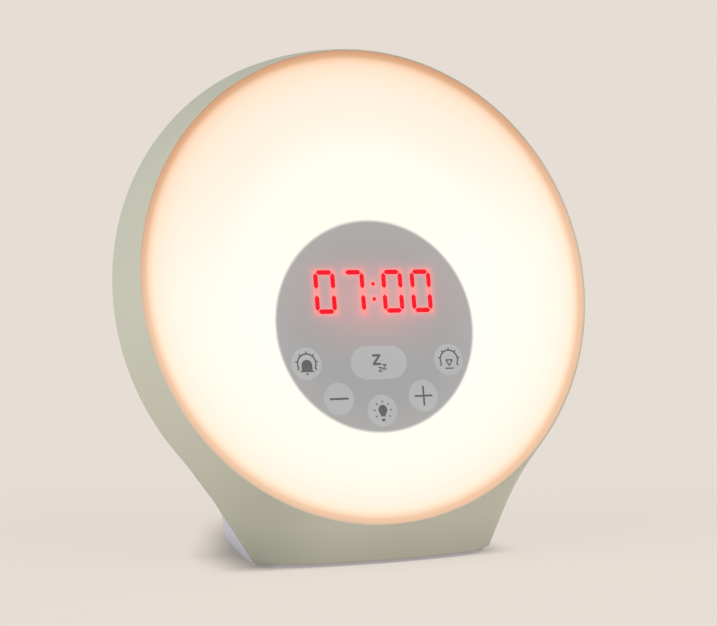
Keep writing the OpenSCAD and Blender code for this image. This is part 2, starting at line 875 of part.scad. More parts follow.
module board_parts() color("#2b2b2d") {
    chip_t = 1.6;
    coil_t = 4;
    can_r = 3;
    can_h = 7;
    on_main_board(0, main_v + 8) block(12, 12, chip_t);
    on_main_board(-20, main_v + 6) block(8, 5, chip_t);
    on_main_board(18, main_v + 14) block(10, 10, coil_t);
    for (x = [-26, -18, -10])
        on_main_board(x, main_v - 16) cylinder(r = can_r, h = can_h);
    on_main_board(jack_socket[0], jack_socket[1]) block(8, 5, socket_h);
    on_main_board(speaker_socket[0], speaker_socket[1]) block(8, 5, socket_h);
    face_frame() {
        translate([light_socket[0], light_socket[1], -board_depth]) block(8, 4, low_socket_h);
        translate([0, ribbon_v, -board_depth]) block(ribbon_w + 3, 4, low_socket_h);
        translate([0, ribbon_v, board_z - board_t - low_socket_h]) block(ribbon_w + 3, 4, low_socket_h);
    }
}

module cell_holder() color("#35353a") {
    rim = 1.8;
    notch_w = 8;
    on_main_board(cell_place[0], cell_place[1])
        difference() {
            cylinder(r = cell_r + fit_gap + rim, h = holder_floor + cell_h + 0.4);
            translate([0, 0, holder_floor])
                cylinder(r = cell_r + fit_gap, h = cell_h + 1);
            translate([-notch_w / 2, -cell_r - rim - 1, holder_floor])
                cube([notch_w, notch_w, cell_h + 1]);
        }
}

module backup_cell() color("#c9cacc") {
    on_main_board(cell_place[0], cell_place[1])
        translate([0, 0, holder_floor])
            cylinder(r = cell_r, h = cell_h);
}

// Speaker, seated in the rear cover's ring
module speaker_gasket() color("#5b5b5d") {
    speaker_axis()
        translate([0, 0, speaker_seat - gasket_t])
            difference() {
                cylinder(r = speaker_r, h = gasket_t);
                translate([0, 0, -1])
                    cylinder(r = speaker_r - gasket_w, h = gasket_t + 2);
            }
}

module speaker_frame() color("#7e8083") {
    speaker_axis()
        translate([0, 0, speaker_seat])
            difference() {
                rotate_extrude()
                    polygon([
                        [0, basket_h - 1.2], [magnet_r + 0.5, basket_h - 1.2],
                        [speaker_r - 3, 1.2], [speaker_r - 3, 0], [speaker_r, 0], [speaker_r, 1.2],
                        [speaker_r - 2, 1.2], [magnet_r + 1.5, basket_h], [magnet_r, basket_h],
                        [magnet_r, magnet_h], [0, magnet_h]
                    ]);
                for (a = [30:60:330])
                    rotate([0, 0, a])
                        translate([magnet_r - 1, -3, 2.4])
                            cube([8, 6, 5]);
            }
}

module speaker_cone() color("#242426") {
    speaker_axis()
        translate([0, 0, speaker_seat])
            rotate_extrude()
                polygon([
                    [0, 3.4], [4, 4.2], [6, 6.4], [speaker_r - 5.6, 1.2], [speaker_r - 3, 0.2],
                    [speaker_r - 3, 0.6], [speaker_r - 5.6, 1.7], [6.2, 7], [3.8, 4.8], [0, 4]
                ]);
}

// Power jack on its own small board
module dc_jack() color("#262628") {
    translate([jack_x, jack_face, jack_height])
        rotate([90, 0, 0]) {
            difference() {
                union() {
                    cylinder(r = jack_nose_r, h = jack_nose + eps);
                    translate([-jack_w / 2, -jack_h / 2, jack_nose])
                        cube([jack_w, jack_h, jack_l - jack_nose]);
                }
                translate([0, 0, -eps])
                    cylinder(r = socket_r, h = 10);
            }
            translate([0, 0, 1])
                cylinder(r = pin_r, h = 10);
        }
}

module jack_board() color("#2f6b45") {
    base = jack_height - jack_h / 2;
    difference() {
        translate([jack_x - jack_board_w / 2, jack_board_y - jack_board_l, base - board_t])
            cube([jack_board_w, jack_board_l, board_t]);
        for (p = jack_posts)
            translate([p[0], p[1], base - board_t - 1])
                cylinder(r = small_r + 0.3, h = board_t + 2);
    }
}

// Fasteners
module screw(r, head_r, head_h, l) {
    cylinder(r = head_r, h = head_h);
    translate([0, 0, head_h - eps])
        cylinder(r = r, h = l + eps);
}

module housing_screws() color("#9b9da0") {
    face_frame()
        at_dirs(boss_dirs, boss_ring)
            translate([0, 0, -ring_depth - fit_gap - boss_floor - screw_head_h])
                screw(screw_r, screw_head_r, screw_head_h, boss_floor + fit_gap + thread_in);
}

module reflector_screws() color("#9b9da0") {
    face_frame() {
        at_dirs(post_dirs, post_ring)
            translate([0, 0, -flange_depth - reflector_t - small_head_h])
                screw(small_r, small_head_r, small_head_h, reflector_t + post_thread);
        translate([0, -core_drop, -floor_depth - floor_t - small_head_h])
            at_dirs(core_screw_dirs, core_screw_r)
                screw(small_r, small_head_r, small_head_h, floor_t + core_thread);
    }
}

module control_screws() color("#9b9da0") {
    face_frame()
        for (p = control_posts)
            translate([p[0], p[1], board_z - board_t - small_head_h])
                screw(small_r, small_head_r, small_head_h, board_t + control_thread);
}

module board_screws() color("#9b9da0") {
    for (p = main_posts)
        on_main_board(p[0], p[1])
            mirror([0, 0, 1])
                translate([0, 0, -small_head_h])
                    screw(small_r, small_head_r, small_head_h, board_t + board_thread);
    for (p = jack_posts)
        translate([p[0], p[1], jack_height - jack_h / 2 + small_head_h])
            mirror([0, 0, 1])
                screw(small_r, small_head_r, small_head_h, board_t + jack_thread);
}

module base_screws() color("#9b9da0") {
    for (p = base_screw_places)
        translate([p[0], p[1], foot_lift + base_screw_sink])
            screw(screw_r, screw_head_r, screw_head_h, base_thread);
}

// Wiring: a flat cable between the two boards' sockets, and pairs of wires that run through given points
function face_point(x, v, w) = [x, row_y(v, w), level(v, w)];

module wire(points) {
    for (i = [0:len(points) - 2])
        let (run = points[i + 1] - points[i])
        translate(points[i])
            rotate([0, acos(run[2] / norm(run)), atan2(run[1], run[0])])
                cylinder(r = wire_r, h = norm(run));
    for (i = [1:len(points) - 2])
        translate(points[i])
            sphere(r = 1.1 * wire_r);
}

module wire_pair(points) {
    for (side = [-1, 1])
        wire([for (p = points) [p[0] + side * wire_pitch / 2, p[1], p[2]]]);
}

module ribbon_cable() color("#cfcfcb") {
    face_frame()
        translate([-ribbon_w / 2, ribbon_v - ribbon_t / 2, low_socket_h - board_depth])
            cube([ribbon_w, ribbon_t, board_depth + board_z - board_t - 2 * low_socket_h]);
}

module speaker_wires() color("#a23a3a") {
    tag_y = back_y - speaker_seat - basket_h;
    tag_z = speaker_height + tag_r;
    socket_w = board_depth + board_t + socket_h;
    wire_pair([
        [speaker_socket[0], tag_y, tag_z],
        [speaker_socket[0], tag_y - 6, tag_z],
        face_point(speaker_socket[0], speaker_socket[1], socket_w + 6),
        face_point(speaker_socket[0], speaker_socket[1], socket_w)
    ]);
}

module light_wires() color("#b8483f") {
    turn_w = floor_depth + floor_t + 3;
    wire_pair([
        face_point(0, led_r, floor_depth),
        face_point(0, led_r, turn_w),
        face_point(light_socket[0], light_socket[1], turn_w),
        face_point(light_socket[0], light_socket[1], board_depth - low_socket_h)
    ]);
}

module jack_wires() color("#3a3a3c") {
    board_top = jack_height - jack_h / 2;
    socket_w = board_depth + board_t + socket_h;
    wire_pair([
        [jack_x, jack_face - 18, board_top],
        [jack_x, jack_face - 18, board_top + 12],
        [jack_socket[0], jack_face - 24, board_top + 30],
        face_point(jack_socket[0], jack_socket[1], socket_w + 6),
        face_point(jack_socket[0], jack_socket[1], socket_w)
    ]);
}

front_housing();
rear_cover();
base_plate();
rubber_feet();
diffuser();
reflector();
control_shroud();
display_module();
display_segments();
control_board();
tact_switches();
alarm_button();
sunset_button();
minus_button();
plus_button();
light_button();
snooze_button();
led_board();
leds();
main_board();
board_parts();
cell_holder();
backup_cell();
speaker_frame();
speaker_cone();
speaker_gasket();
dc_jack();
jack_board();
housing_screws();
reflector_screws();
control_screws();
board_screws();
base_screws();
ribbon_cable();
speaker_wires();
light_wires();
jack_wires();
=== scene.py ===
import bpy
import json
import math
from mathutils import Matrix, Vector


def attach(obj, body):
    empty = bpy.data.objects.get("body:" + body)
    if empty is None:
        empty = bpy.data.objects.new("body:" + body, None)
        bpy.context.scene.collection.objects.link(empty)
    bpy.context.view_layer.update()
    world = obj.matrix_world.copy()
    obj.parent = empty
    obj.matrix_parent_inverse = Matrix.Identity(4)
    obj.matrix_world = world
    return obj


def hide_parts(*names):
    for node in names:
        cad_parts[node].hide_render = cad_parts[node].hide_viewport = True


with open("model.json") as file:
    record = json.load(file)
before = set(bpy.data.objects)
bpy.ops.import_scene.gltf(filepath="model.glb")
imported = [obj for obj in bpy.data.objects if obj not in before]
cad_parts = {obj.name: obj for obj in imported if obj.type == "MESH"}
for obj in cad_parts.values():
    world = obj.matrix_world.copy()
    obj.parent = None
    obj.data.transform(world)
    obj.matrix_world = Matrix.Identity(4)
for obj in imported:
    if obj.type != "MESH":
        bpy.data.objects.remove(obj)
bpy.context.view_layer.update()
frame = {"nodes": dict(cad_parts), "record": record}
nodes = frame["nodes"]
print("frame loaded:", len(nodes), "nodes")

# sizes are metres throughout; on the lens face x is to the right, y up the face and z out of it, from the
# middle of the lens rim; the face is sunk in the rim, the caps stand proud of it, and the middle of the
# unlit core, which holds the time and the buttons, lies below the middle of the rim
face = dict(lean=math.radians(11.5), height=0.101, y=-0.0344556,
            lensRadius=0.0875, sink=0.001, capProud=0.0002, coreDrop=0.0157)
faceToWorld = (Matrix.Translation((0, face["y"], face["height"]))
               @ Matrix.Rotation(math.pi / 2 - face["lean"], 4, "X"))
mergeDistance = 1e-6
cornerSteps = 3  # faces in each soft corner of a rim


def deselectAll():
    if bpy.context.object and bpy.context.object.mode != "OBJECT":
        bpy.ops.object.mode_set(mode="OBJECT")
    bpy.ops.object.select_all(action="DESELECT")


def makeActive(piece):
    deselectAll()
    piece.select_set(True)
    bpy.context.view_layer.objects.active = piece


def newest(name):
    # names the object that the last operator made
    piece = bpy.context.object
    piece.name = name
    piece.data.name = name
    return piece


def editAll(piece):
    # into edit mode with every point selected
    makeActive(piece)
    bpy.ops.object.mode_set(mode="EDIT")
    bpy.ops.mesh.select_mode(type="VERT")
    bpy.ops.mesh.select_all(action="SELECT")


def objectMode():
    bpy.ops.object.mode_set(mode="OBJECT")


def applyPlace(piece):
    makeActive(piece)
    bpy.ops.object.transform_apply(location=True, rotation=True, scale=True)


def leanBack(piece):
    # a piece drawn flat about the middle of the face goes to its place on the clock
    makeActive(piece)
    piece.matrix_world = faceToWorld @ piece.matrix_world
    applyPlace(piece)


def applyModifier(piece, kind, **settings):
    makeActive(piece)
    modifier = piece.modifiers.new(kind.title(), kind)
    for key, value in settings.items():
        setattr(modifier, key, value)
    bpy.ops.object.modifier_apply(modifier=modifier.name)


def mergeDoubles(piece, recalculate=True):
    editAll(piece)
    bpy.ops.mesh.remove_doubles(threshold=mergeDistance)
    if recalculate:
        bpy.ops.mesh.normals_make_consistent(inside=False)
    objectMode()


def smoothByAngle(piece, degrees):
    makeActive(piece)
    bpy.ops.object.shade_smooth_by_angle(angle=math.radians(degrees))


def joinAll(pieces, name):
    makeActive(pieces[0])
    for piece in pieces:
        piece.select_set(True)
    bpy.ops.object.join()
    return newest(name)


def copyOfNode(node, name):
    # a merged copy of a CAD node with a mesh of its own
    piece = nodes[node].copy()
    piece.data = nodes[node].data.copy()
    bpy.context.collection.objects.link(piece)
    piece.parent = None
    piece.matrix_world = Matrix.Identity(4)
    piece.name = name
    piece.data.name = name
    mergeDoubles(piece, recalculate=False)
    # its stored normals go, because merging has blurred them at the edges
    bpy.ops.mesh.customdata_custom_splitnormals_clear()
    return piece


def paintWith(piece, material):
    piece.data.materials.clear()
    piece.data.materials.append(material)


def cutAway(piece, cutter):
    applyModifier(piece, "BOOLEAN", operation="DIFFERENCE", object=cutter, solver="EXACT")
    bpy.data.objects.remove(cutter)


class Amount:
    # a number socket that Python arithmetic turns into Math nodes
    def __init__(self, paint, socket):
        self.paint = paint
        self.socket = socket

    def math(self, operation, *others):
        return self.paint.node("ShaderNodeMath", dict(operation=operation), [self, *others])

    def __add__(self, other):
        return self.math("ADD", other)

    def __sub__(self, other):
        return self.math("SUBTRACT", other)

    def __rsub__(self, other):
        return self.paint.node("ShaderNodeMath", dict(operation="SUBTRACT"), [other, self])

    def __mul__(self, other):
        return self.math("MULTIPLY", other)

    def __truediv__(self, other):
        return self.math("DIVIDE", other)

    def __rtruediv__(self, other):
        return self.paint.node("ShaderNodeMath", dict(operation="DIVIDE"), [other, self])

    def __pow__(self, other):
        return self.math("POWER", other)

    def __neg__(self):
        return self * -1

    def __abs__(self):
        return self.math("ABSOLUTE")

    __radd__ = __add__
    __rmul__ = __mul__

    def clamped(self):
        return self.math("MINIMUM", 1).math("MAXIMUM", 0)

    def between(self, low, high):
        # rises softly from 0 at low to 1 at high
        return self.paint.node("ShaderNodeMapRange", dict(interpolation_type="SMOOTHSTEP"),
                               {"Value": self, "From Min": low, "From Max": high})

    def swing(self, amount):
        # a noise, which lies about a half, as a change to both sides
        return (self - 0.5) * amount


class Paint:
    # a material under construction: plain values go on the shader's own sockets
    def __init__(self, name, **plain):
        self.material = bpy.data.materials.new(name)
        self.material.use_nodes = True
        self.tree = self.material.node_tree
        self.shader = self.tree.nodes["Principled BSDF"]
        self.set(**plain)

    def set(self, **values):
        for socket, value in values.items():
            self.feed(self.shader.inputs[socket.replace("_", " ")], value)

    def feed(self, socket, value):
        if isinstance(value, Amount):
            value = value.socket
        if isinstance(value, bpy.types.NodeSocket):
            self.tree.links.new(value, socket)
        elif isinstance(value, (tuple, list)) and len(value) == 3 and socket.type == "RGBA":
            socket.default_value = (*value, 1)
        else:
            socket.default_value = value

    def node(self, kind, settings=None, inputs=None, out=0):
        made = self.tree.nodes.new(kind)
        for key, value in (settings or {}).items():
            setattr(made, key, value)
        pairs = inputs.items() if isinstance(inputs, dict) else enumerate(inputs or [])
        for key, value in pairs:
            self.feed(made.inputs[key], value)
        return Amount(self, made.outputs[out])

    def place(self):
        return self.node("ShaderNodeTexCoord", out="Object")

    def axes(self, vector):
        split = self.node("ShaderNodeSeparateXYZ", None, [vector])
        return [Amount(self, socket) for socket in split.socket.node.outputs]

    def facePlace(self):
        # the same place counted from the middle of the face, leaned with it
        return self.axes(self.node("ShaderNodeMapping", dict(vector_type="TEXTURE"), {
            "Vector": self.place(), "Location": (0, face["y"], face["height"]),
            "Rotation": (math.pi / 2 - face["lean"], 0, 0)}))

    def noise(self, scale, detail, roughness=0.5):
        return self.node("ShaderNodeTexNoise", None, {
            "Vector": self.place(), "Scale": scale, "Detail": detail, "Roughness": roughness})

    def ramp(self, amount, stops):
        made = self.node("ShaderNodeValToRGB", None, [amount])
        ramp = made.socket.node.color_ramp
        while len(ramp.elements) < len(stops):
            ramp.elements.new(0.5)
        for element, (where, colour) in zip(ramp.elements, stops):
            element.position = where
            element.color = (*colour, 1)
        return made

    def mix(self, factor, first, second, blend="MIX"):
        # of the sockets of a Mix node, 6, 7 and output 2 are its colours
        return self.node("ShaderNodeMix", dict(data_type="RGBA", blend_type=blend),
                         {0: factor, 6: first, 7: second}, out=2)

    def dimmed(self, colour, share):
        return self.mix(1.0, colour, (share,) * 3, blend="MULTIPLY")

    def lit(self, tone, scatter, light):
        # a tone that shows as it is: a share of it scatters the light, and the rest glows by itself
        self.set(Base_Color=self.dimmed(tone, scatter), Emission_Strength=1.0,
                 Emission_Color=self.dimmed(tone, 1 - scatter * light))

    def bump(self, height, strength, distance):
        return self.node("ShaderNodeBump", None,
                         {"Height": height, "Strength": strength, "Distance": distance})


def linear(*screen):
    # screen values from 0 to 255 as the shader's own colour, by the usual screen curve
    return tuple(value / 255 / 12.92 if value <= 10.3 else ((value / 255 + 0.055) / 1.055) ** 2.4
                 for value in screen)


def scaled(colour, amount):
    return tuple(value * amount for value in colour)


# in these looks a noise is its cells per metre, its detail and, where it isn't a half, its roughness;
# the second tone shows in patches, where the slow noise passes from the first limit to the second,
# and gloss is how far the noise changes the roughness
mouldedLook = dict(cloud=(16, 2), fine=(2600, 2, 0.6), pits=2200, patches=(0.3, 0.7),
                   fineTone=0.08, fineDark=0.7, roughness=0.42, cloudGloss=0.08, fineGloss=0.12,
                   specular=0.4, fineShare=0.6, pitShare=0.4, bump=0.22, depth=0.00004)


def mouldedPlastic(name, colour, darker, grain, shade=None):
    # fine spark-eroded grain, with slow colour and gloss changes across the moulding; where shade is given,
    # painted shade too, by height and at the left end of the foot
    look = mouldedLook
    paint = Paint(name, Specular_IOR_Level=look["specular"])
    slow = paint.noise(*look["cloud"])
    fine = paint.noise(*look["fine"])
    pits = paint.node("ShaderNodeTexVoronoi", dict(feature="F1"),
                      {"Vector": paint.place(), "Scale": look["pits"]})
    tone = paint.mix(slow.between(*look["patches"]), colour, darker)
    tone = paint.mix(fine.swing(look["fineTone"]), tone, scaled(darker, look["fineDark"]))
    if shade:
        across, up = paint.axes(paint.place())[::2]
        # painted shade by height: a darker tone towards the foot and near the top
        tone = paint.mix(1.0, tone, paint.ramp(up / shade["height"], shade["tones"]), blend="MULTIPLY")
        # painted shade at the left end of the foot
        footCornerShade = across.between(*shade["leftEnd"]) * up.between(*shade["footEnd"])
        tone = paint.mix(footCornerShade * shade["cornerDark"], tone, (0, 0, 0))
    paint.set(Base_Color=tone,
              Roughness=look["roughness"] + slow.swing(look["cloudGloss"]) + fine.swing(look["fineGloss"]),
              Normal=paint.bump(fine * look["fineShare"] + pits * look["pitShare"],
                                look["bump"] * grain, look["depth"]))
    return paint.material


smoothLook = dict(cloud=(30, 3), streak=(900, 2), patches=(0.3, 0.7), gloss=0.15, bump=0.08, depth=0.00003)


def smoothMoulding(name, colour, darker, roughness=0.35):
    look = smoothLook
    paint = Paint(name)
    slow = paint.noise(*look["cloud"])
    streak = paint.noise(*look["streak"])
    paint.set(Base_Color=paint.mix(slow.between(*look["patches"]), colour, darker),
              Roughness=roughness + streak.swing(look["gloss"]),
              Normal=paint.bump(streak, look["bump"], look["depth"]))
    return paint.material


rubberLook = dict(dust=(140, 4, 0.6), skin=(3000, 3, 0.7), patches=(0.35, 0.75), roughness=0.72, gloss=0.2,
                  specular=0.25, bump=0.35, depth=0.00006)


def softRubber(name, colour, darker):
    look = rubberLook
    paint = Paint(name, Specular_IOR_Level=look["specular"])
    dust = paint.noise(*look["dust"])
    skin = paint.noise(*look["skin"])
    paint.set(Base_Color=paint.mix(dust.between(*look["patches"]), colour, darker),
              Roughness=look["roughness"] + dust.swing(look["gloss"]),
              Normal=paint.bump(skin, look["bump"], look["depth"]))
    return paint.material


metalLook = dict(lines=1400, stretch=(1, 1, 14), stain=(90, 3), patches=(0.35, 0.7), roughness=0.32,
                 gloss=0.25, bump=0.12, depth=0.00003)


def brushedMetal(name, colour, darker):
    # the lines come from a noise that is packed closer one way
    look = metalLook
    paint = Paint(name, Metallic=1.0)
    packed = paint.node("ShaderNodeMapping", None, {"Vector": paint.place(), "Scale": look["stretch"]})
    lines = paint.node("ShaderNodeTexNoise", None, {"Vector": packed, "Scale": look["lines"]})
    stain = paint.noise(*look["stain"])
    paint.set(Base_Color=paint.mix(stain.between(*look["patches"]), colour, darker),
              Roughness=look["roughness"] + lines.swing(look["gloss"]),
              Normal=paint.bump(lines, look["bump"], look["depth"]))
    return paint.material


boardLook = dict(tracks=130, offset=0.4, trackGap=0.03, bias=-0.2, gapBright=1.6, weave=(1800, 2),
                 roughness=0.35, bump=0.1, depth=0.00003)


def circuitBoard(name, colour, darker):
    look = boardLook
    paint = Paint(name, Roughness=look["roughness"])
    tracks = paint.node("ShaderNodeTexBrick", dict(offset=look["offset"]), {
        "Vector": paint.place(), "Color1": colour, "Color2": darker,
        "Mortar": scaled(colour, look["gapBright"]), "Scale": look["tracks"],
        "Mortar Size": look["trackGap"], "Bias": look["bias"]})
    weave = paint.noise(*look["weave"])
    paint.set(Base_Color=tracks, Normal=paint.bump(weave, look["bump"], look["depth"]))
    return paint.material


cableLook = dict(stripes=260, roughness=0.45, bump=0.3, depth=0.0001)


def flatCable(name, colour, darker):
    look = cableLook
    paint = Paint(name, Roughness=look["roughness"])
    stripes = paint.node("ShaderNodeTexWave", dict(bands_direction="X"),
                         {"Vector": paint.place(), "Scale": look["stripes"]})
    paint.set(Base_Color=paint.mix(stripes, colour, darker),
              Normal=paint.bump(stripes, look["bump"], look["depth"]))
    return paint.material


coneLook = dict(fibre=(1200, 5, 0.7), patches=(0.3, 0.7), roughness=0.85, bump=0.4, depth=0.00008)


def paperCone(name, colour, darker):
    look = coneLook
    paint = Paint(name, Roughness=look["roughness"])
    fibre = paint.noise(*look["fibre"])
    paint.set(Base_Color=paint.mix(fibre.between(*look["patches"]), colour, darker),
              Normal=paint.bump(fibre, look["bump"], look["depth"]))
    return paint.material


# how brightly the studio lights an upright face, where 1 shows its colour as it is
roomLight = 0.6
opalLook = dict(specular=0.3, fine=(2400, 2), roughness=0.5, gloss=0.1, bump=0.06, depth=0.00003)


def opalSurface(paint, tone, scatter):
    fine = paint.noise(*opalLook["fine"])
    # most of the tone glows by itself: the lamp's light on the diffuser's lit border, and painted light on
    # the unlit core and on the caps
    paint.lit(tone, scatter, roomLight)
    paint.set(Specular_IOR_Level=opalLook["specular"],
              Roughness=opalLook["roughness"] + fine.swing(opalLook["gloss"]),
              Normal=paint.bump(fine, opalLook["bump"], opalLook["depth"]))


# the time: the digits and where they stand, and how their strokes are moved and lifted from the display,
# which lies at this depth, to the face of the lens
display = dict(height=0.016, width=0.0083, stroke=0.0017, pitch=0.0115, pairPitch=0.0152, dotPitch=0.0056,
               drop=0.003, shift=(0.0002, 0.0), depth=0.0034, lift=0.00003, smoothAngle=32)


def digitNearness(paint, x, y):
    # the way from a place to the nearest lit stroke, as if each stroke were a line with round ends
    up = y + (display["drop"] - display["shift"][1])
    across = x - display["shift"][0]
    halfWide = (display["width"] - display["stroke"]) / 2
    halfHigh = (display["height"] - display["stroke"]) / 2
    dotUp = abs(up) - display["dotPitch"] / 2
    nearest = (across * across + dotUp * dotUp) ** 0.5
    # the digits stand at half steps to both sides of the colon
    for place, digit in ((-1.5, "0"), (-0.5, "7"), (0.5, "0"), (1.5, "0")):
        middle = math.copysign(display["pairPitch"] / 2 + (abs(place) - 0.5) * display["pitch"], place)
        off = across - middle
        if digit == "7":
            # a seven has only its top and its right side
            topOff = (abs(off) - halfWide).math("MAXIMUM", 0)
            topUp = up - halfHigh
            sideOff = off - halfWide
            sideUp = (abs(up) - halfHigh).math("MAXIMUM", 0)
            top = topOff * topOff + topUp * topUp
            far = top.math("MINIMUM", sideOff * sideOff + sideUp * sideUp) ** 0.5
        else:
            outX = abs(off) - halfWide
            outY = abs(up) - halfHigh
            pastX = outX.math("MAXIMUM", 0)
            pastY = outY.math("MAXIMUM", 0)
            within = outX.math("MAXIMUM", outY).math("MINIMUM", 0)
            far = abs((pastX * pastX + pastY * pastY) ** 0.5 + within)
        nearest = nearest.math("MINIMUM", far)
    return (nearest - display["stroke"] / 2).math("MAXIMUM", 0)


glow = dict(
    # colours from the rim inwards, against the square root of the way over the border
    low=[(0.09, linear(220, 187, 161)), (0.16, linear(235, 193, 160)), (0.22, linear(239, 197, 163)),
         (0.25, linear(246, 208, 175)), (0.28, linear(251, 218, 188)), (0.35, linear(255, 237, 212)),
         (0.45, linear(255, 241, 224)), (0.60, linear(255, 247, 231)), (1.0, linear(255, 254, 243))],
    top=[(0.09, linear(201, 155, 124)), (0.16, linear(216, 160, 123)), (0.22, linear(221, 173, 132)),
         (0.25, linear(233, 189, 151)), (0.28, linear(246, 203, 170)), (0.35, linear(253, 221, 193)),
         (0.45, linear(255, 229, 204)), (0.60, linear(255, 235, 216)), (0.82, linear(255, 240, 223)),
         (1.0, linear(255, 250, 236))],
    border=0.040,
    # the warmest part of the rim is a little to the left of the top
    topTurn=math.radians(10), topSpread=(-0.15, 0.9),
    # the unlit core: painted shade where the shroud behind the diffuser keeps the lamp's light off, made to
    # glow grey by itself; it is a little lighter towards its edge, painted light leaking in from the lit
    # border, and its edge is soft
    hollow=linear(160, 160, 160), hollowEdge=linear(167, 165, 164), edgeFrom=0.026,
    coreShift=(0.0002, 0.0001), coreEdge=0.0389, coreSoft=0.0008,
    # painted red light from the digits spreads close round the strokes, and wide through the core under the
    # middle of the time, with a pink painted halo
    nearRed=0.34, nearReach=0.0011, wideRed=0.25, wideScale=(45, 77), wideDrop=0.006,
    halo=linear(255, 148, 142), haloShare=0.7, haloReach=0.00035,
    # the back and the bores glow with the border's light behind the border, and are painted in the core's
    # shade behind the core
    back=linear(255, 238, 214), backDepth=(-0.0030, -0.0026),
    scatter=0.12)


def opalDiffuser(name):
    # lit from behind: a peach rim, a warm border that is wider at the top, and an unlit core in painted
    # shade, with painted red light round the time
    paint = Paint(name)
    x, y, z = paint.facePlace()
    radius = (x * x + y * y) ** 0.5
    up = (y * math.cos(glow["topTurn"]) - x * math.sin(glow["topTurn"])) / radius
    inward = ((face["lensRadius"] - radius) / glow["border"]).clamped() ** 0.5
    shown = paint.mix(up.between(*glow["topSpread"]),
                      paint.ramp(inward, glow["low"]), paint.ramp(inward, glow["top"]))
    coreX = x - glow["coreShift"][0]
    coreY = y + (face["coreDrop"] - glow["coreShift"][1])
    coreRadius = (coreX * coreX + coreY * coreY) ** 0.5
    # painted shade of the unlit core, lighter towards its edge
    inner = paint.mix(coreRadius.between(glow["edgeFrom"], glow["coreEdge"]),
                      glow["hollow"], glow["hollowEdge"])
    nearness = digitNearness(paint, x, y)
    # painted red light from the digits on the diffuser's face
    cloudX = x * glow["wideScale"][0]
    cloudY = (y + glow["wideDrop"]) * glow["wideScale"][1]
    cloud = (-(cloudX * cloudX + cloudY * cloudY)).math("EXPONENT")
    near = (nearness / -glow["nearReach"]).math("EXPONENT")
    inner = paint.mix(near * glow["nearRed"] + cloud * glow["wideRed"], inner, (1, 0, 0), blend="ADD")
    halo = (nearness / -glow["haloReach"]).math("EXPONENT")
    inner = paint.mix(halo * glow["haloShare"], inner, glow["halo"])
    outside = coreRadius.between(glow["coreEdge"] - glow["coreSoft"], glow["coreEdge"] + glow["coreSoft"])
    behind = paint.mix(outside, glow["hollow"], glow["back"])
    shown = paint.mix(z.between(*glow["backDepth"]), behind, paint.mix(outside, inner, shown))
    opalSurface(paint, shown, glow["scatter"])
    return paint.material


capLook = dict(tone=linear(173, 174, 174), patch=linear(170, 171, 171), cloud=(60, 2), patches=(0.3, 0.7),
               scatter=0.4)


def buttonCap(name):
    # grey translucent cap, a little lighter than the core round it; painted light: most of its grey glows
    # by itself
    look = capLook
    paint = Paint(name)
    slow = paint.noise(*look["cloud"])
    tone = paint.mix(slow.between(*look["patches"]), look["tone"], look["patch"])
    opalSurface(paint, tone, look["scatter"])
    return paint.material


strokeLook = dict(base=linear(50, 5, 8), red=linear(242, 8, 32), patch=linear(248, 22, 44), speck=(700, 2),
                  patches=(0.3, 0.7), roughness=0.5, specular=0.1)


def litStroke(name):
    look = strokeLook
    paint = Paint(name, Roughness=look["roughness"], Specular_IOR_Level=look["specular"],
                  Base_Color=look["base"], Emission_Strength=1.0)
    speck = paint.noise(*look["speck"])
    paint.set(Emission_Color=paint.mix(speck.between(*look["patches"]), look["red"], look["patch"]))
    return paint.material


inkLook = dict(tone=linear(92, 92, 95), patch=linear(104, 104, 107), speck=(1500, 3), patches=(0.3, 0.7),
               roughness=0.55, gloss=0.2)


def darkPrint(name):
    look = inkLook
    paint = Paint(name)
    ink = paint.noise(*look["speck"])
    paint.set(Base_Color=paint.mix(ink.between(*look["patches"]), look["tone"], look["patch"]),
              Roughness=look["roughness"] + ink.swing(look["gloss"]))
    return paint.material


